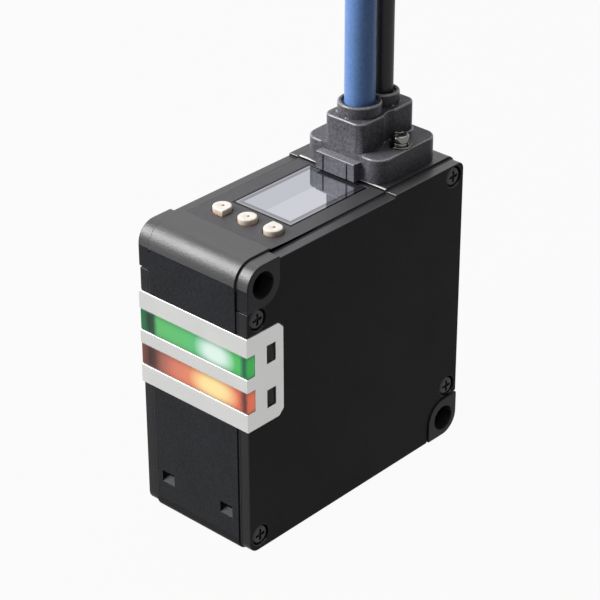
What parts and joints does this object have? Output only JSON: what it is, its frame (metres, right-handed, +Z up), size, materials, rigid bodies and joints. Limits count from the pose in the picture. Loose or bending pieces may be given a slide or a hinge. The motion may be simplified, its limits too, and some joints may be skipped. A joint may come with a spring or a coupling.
{
  "type": "laser displacement sensor",
  "caption": "Compact black laser displacement sensor with a pale indicator band, top display and keys, and a moulded cable entry with a blue and a black cable",
  "frame": {"origin": "middle of the underside of the housing", "axes": "+X to the right cover, along the mounting holes; -Y to the front with the light bars; +Z up to the cable entry"},
  "size_m": [0.1055, 0.133, 0.1203],
  "materials": {
    "cast_black": "matt black coated casting",
    "cover_black": "matt black coated casting",
    "seal_rubber": "plain",
    "screw_steel": "bright nickel",
    "panel_dark": "satin film",
    "trim_silver": "pale silver",
    "moulded_black": "satin moulded",
    "light_green": "lit translucent",
    "light_orange": "lit translucent",
    "board_green": "printed board",
    "key_ivory": "ivory",
    "display_glass": "clear over pale grey",
    "optic_red": "dark red filter",
    "optic_clear": "clear",
    "plain_aluminium": "machined",
    "cable_blue": "satin jacket",
    "cable_black": "satin jacket",
    "plug_clear": "clear moulded",
    "lead_red": "wire insulation"
  },
  "bodies": {
    "sensor": {"main_housing": "cast_black", "right_cover": "cover_black", "left_cover": "cover_black", "right_gasket": "seal_rubber", "left_gasket": "seal_rubber", "cover_screws": "screw_steel", "upper_front_panel": "panel_dark", "lower_front_panel": "panel_dark", "indicator_trim": "trim_silver", "indicator_holder": "moulded_black", "laser_light_guide": "light_green", "alarm_light_guide": "light_orange", "indicator_board": "board_green", "indicator_leds": "key_ivory", "top_panel": "panel_dark", "display_window": "display_glass", "display_module": "key_ivory", "switch_board": "board_green", "tact_switches": "moulded_black", "cable_gland": "moulded_black", "gland_seal": "seal_rubber", "gland_screws": "screw_steel", "gland_spring_washers": "screw_steel", "gland_flat_washers": "screw_steel", "emitter_window": "optic_red", "receiver_window": "optic_red", "laser_holder": "plain_aluminium", "laser_diode": "screw_steel", "collimator_lens": "optic_clear", "lens_barrel": "moulded_black", "receiver_lens": "optic_clear", "image_sensor": "moulded_black", "sensor_board": "board_green", "main_board": "board_green", "board_screws": "screw_steel", "network_cable": "cable_blue", "network_plug": "plug_clear", "power_cable": "cable_black", "power_leads": "lead_red"},
    "left_key": {"button_left": "key_ivory"},
    "middle_key": {"button_middle": "key_ivory"},
    "right_key": {"button_right": "key_ivory"}
  },
  "joints": [
    {"name": "left_key_press", "type": "slide", "parent": "sensor", "child": "left_key", "axis": [0, 0, -1], "range_m": [0, 0.0003], "stiffness_N_per_m": 2000},
    {"name": "middle_key_press", "type": "slide", "parent": "sensor", "child": "middle_key", "axis": [0, 0, -1], "range_m": [0, 0.0003], "stiffness_N_per_m": 2000},
    {"name": "right_key_press", "type": "slide", "parent": "sensor", "child": "right_key", "axis": [0, 0, -1], "range_m": [0, 0.0003], "stiffness_N_per_m": 2000}
  ]
}
